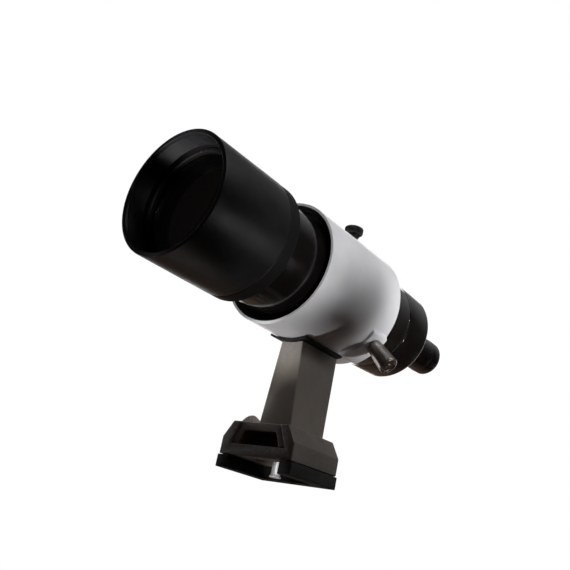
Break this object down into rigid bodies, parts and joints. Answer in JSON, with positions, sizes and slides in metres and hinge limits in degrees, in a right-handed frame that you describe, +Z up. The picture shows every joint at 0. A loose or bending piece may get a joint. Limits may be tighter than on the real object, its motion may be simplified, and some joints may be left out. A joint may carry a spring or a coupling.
{
  "type": "finder scope",
  "caption": "Straight-through finder telescope held in a long tilting ring on a tapered post, with a dovetail foot that slides into a clamped shoe.",
  "frame": {"origin": "middle of the face that rests on the telescope, on the end of the locating stud under the shoe", "axes": "-Y along the optical axis towards the sky, +Z up from the telescope to the finder, +X towards the side of the spring plunger"},
  "size_m": [0.0833, 0.231, 0.1456],
  "materials": {
    "satin_black": "satin black anodised",
    "matte_black": "matte black anodised",
    "gloss_black": "gloss black paint on aluminium",
    "knurled_black": "black anodised, knurled",
    "knurled_grey": "grey-brown anodised, knurled",
    "white_paint": "gloss white enamel on cast aluminium",
    "grey_paint": "satin grey paint on cast aluminium",
    "shoe_paint": "satin dark grey paint on cast aluminium",
    "rubber": "black rubber",
    "polished_rubber": "smooth gloss black rubber",
    "chrome": "dark nickel plate",
    "steel": "bright steel",
    "brass": "turned brass",
    "bright_aluminium": "turned, bright",
    "nylon": "natural nylon",
    "glass": "coated optical glass"
  },
  "bodies": {
    "shoe": {"shoe": "shoe_paint", "saddle_pad": "rubber", "locating_stud": "bright_aluminium", "shoe_screw_front": "steel", "shoe_screw_rear": "steel"},
    "clamp_plug": {"clamp_plug": "brass"},
    "clamp_screw": {"clamp_screw": "knurled_grey"},
    "bracket": {"bracket_stalk": "grey_paint", "stalk_gasket": "rubber", "bracket_ring": "white_paint", "ring_bolt_front": "steel", "ring_bolt_rear": "steel", "plunger_body": "chrome", "plunger_spring": "steel"},
    "plunger_pin": {"plunger_pin": "steel"},
    "o_ring": {"front_o_ring": "rubber"},
    "tube": {"main_tube": "gloss_black", "baffle_front": "matte_black", "baffle_rear": "matte_black", "rear_cap": "gloss_black", "eyepiece_tube": "gloss_black", "eyecup": "polished_rubber", "eye_retainer": "matte_black", "eye_lens": "glass", "eye_field_lens": "glass", "reticle_cell": "matte_black"},
    "top_tip": {"top_tip": "nylon"},
    "top_screw": {"top_screw": "knurled_black"},
    "side_tip": {"side_tip": "nylon"},
    "side_screw": {"side_screw": "knurled_black"},
    "objective": {"objective_crown": "glass", "objective_spacer": "matte_black", "objective_flint": "glass"},
    "front_barrel": {"dew_shield": "satin_black", "objective_retainer": "matte_black"},
    "lock_ring": {"lock_ring": "matte_black"}
  },
  "joints": [
    {"name": "foot_slide", "type": "slide", "parent": "shoe", "child": "bracket", "axis": [0, -1, 0], "range_m": [0, 0.045]},
    {"name": "clamp_travel", "type": "slide", "parent": "shoe", "child": "clamp_plug", "axis": [-0.8432, 0, 0.5376], "range_m": [0, 0.00165]},
    {"name": "clamp_turn", "type": "hinge", "parent": "clamp_plug", "child": "clamp_screw", "pos_m": [-0.01965, 0.0096, 0.0186], "axis": [-0.8432, 0, 0.5376], "range_deg": [0, 720]},
    {"name": "aim_yaw", "type": "hinge", "parent": "bracket", "child": "o_ring", "pos_m": [0, -0.0233, 0.1003], "axis": [0, 0, 1], "range_deg": [-0.9, 0.9]},
    {"name": "aim_pitch", "type": "hinge", "parent": "o_ring", "child": "tube", "pos_m": [0, -0.0233, 0.1003], "axis": [1, 0, 0], "range_deg": [-0.9, 0.9]},
    {"name": "plunger_travel", "type": "slide", "parent": "bracket", "child": "plunger_pin", "axis": [0.7071, 0, -0.7071], "range_m": [-0.0007, 0.0007]},
    {"name": "top_travel", "type": "slide", "parent": "bracket", "child": "top_tip", "axis": [0, 0, 1], "range_m": [-0.0009, 0.0009]},
    {"name": "top_turn", "type": "hinge", "parent": "top_tip", "child": "top_screw", "pos_m": [0, 0.0265, 0.1003], "axis": [0, 0, 1], "range_deg": [-360, 360]},
    {"name": "side_travel", "type": "slide", "parent": "bracket", "child": "side_tip", "axis": [-1, 0, 0], "range_m": [-0.0009, 0.0009]},
    {"name": "side_turn", "type": "hinge", "parent": "side_tip", "child": "side_screw", "pos_m": [0, 0.0265, 0.1003], "axis": [-1, 0, 0], "range_deg": [-360, 360]},
    {"name": "focus_travel", "type": "slide", "parent": "tube", "child": "objective", "axis": [0, -1, 0], "range_m": [0, 0.0031]},
    {"name": "focus_turn", "type": "hinge", "parent": "objective", "child": "front_barrel", "pos_m": [0, -0.0835, 0.1003], "axis": [0, -1, 0], "range_deg": [0, 1080]},
    {"name": "lock_turn", "type": "hinge", "parent": "tube", "child": "lock_ring", "pos_m": [0, -0.0573, 0.1003], "axis": [0, 1, 0], "range_deg": [0, 90]}
  ],
  "couplings": [
    {"joint": "clamp_travel", "follows": "clamp_turn", "m_per_rad": 0.00012732},
    {"joint": "plunger_travel", "follows": "aim_pitch", "m_per_rad": -0.037335},
    {"joint": "top_travel", "follows": "aim_pitch", "m_per_rad": 0.0498},
    {"joint": "top_turn", "follows": "aim_pitch", "ratio": 391.13},
    {"joint": "side_travel", "follows": "aim_yaw", "m_per_rad": 0.0498},
    {"joint": "side_turn", "follows": "aim_yaw", "ratio": 391.13},
    {"joint": "focus_travel", "follows": "focus_turn", "m_per_rad": 0.00015915}
  ]
}
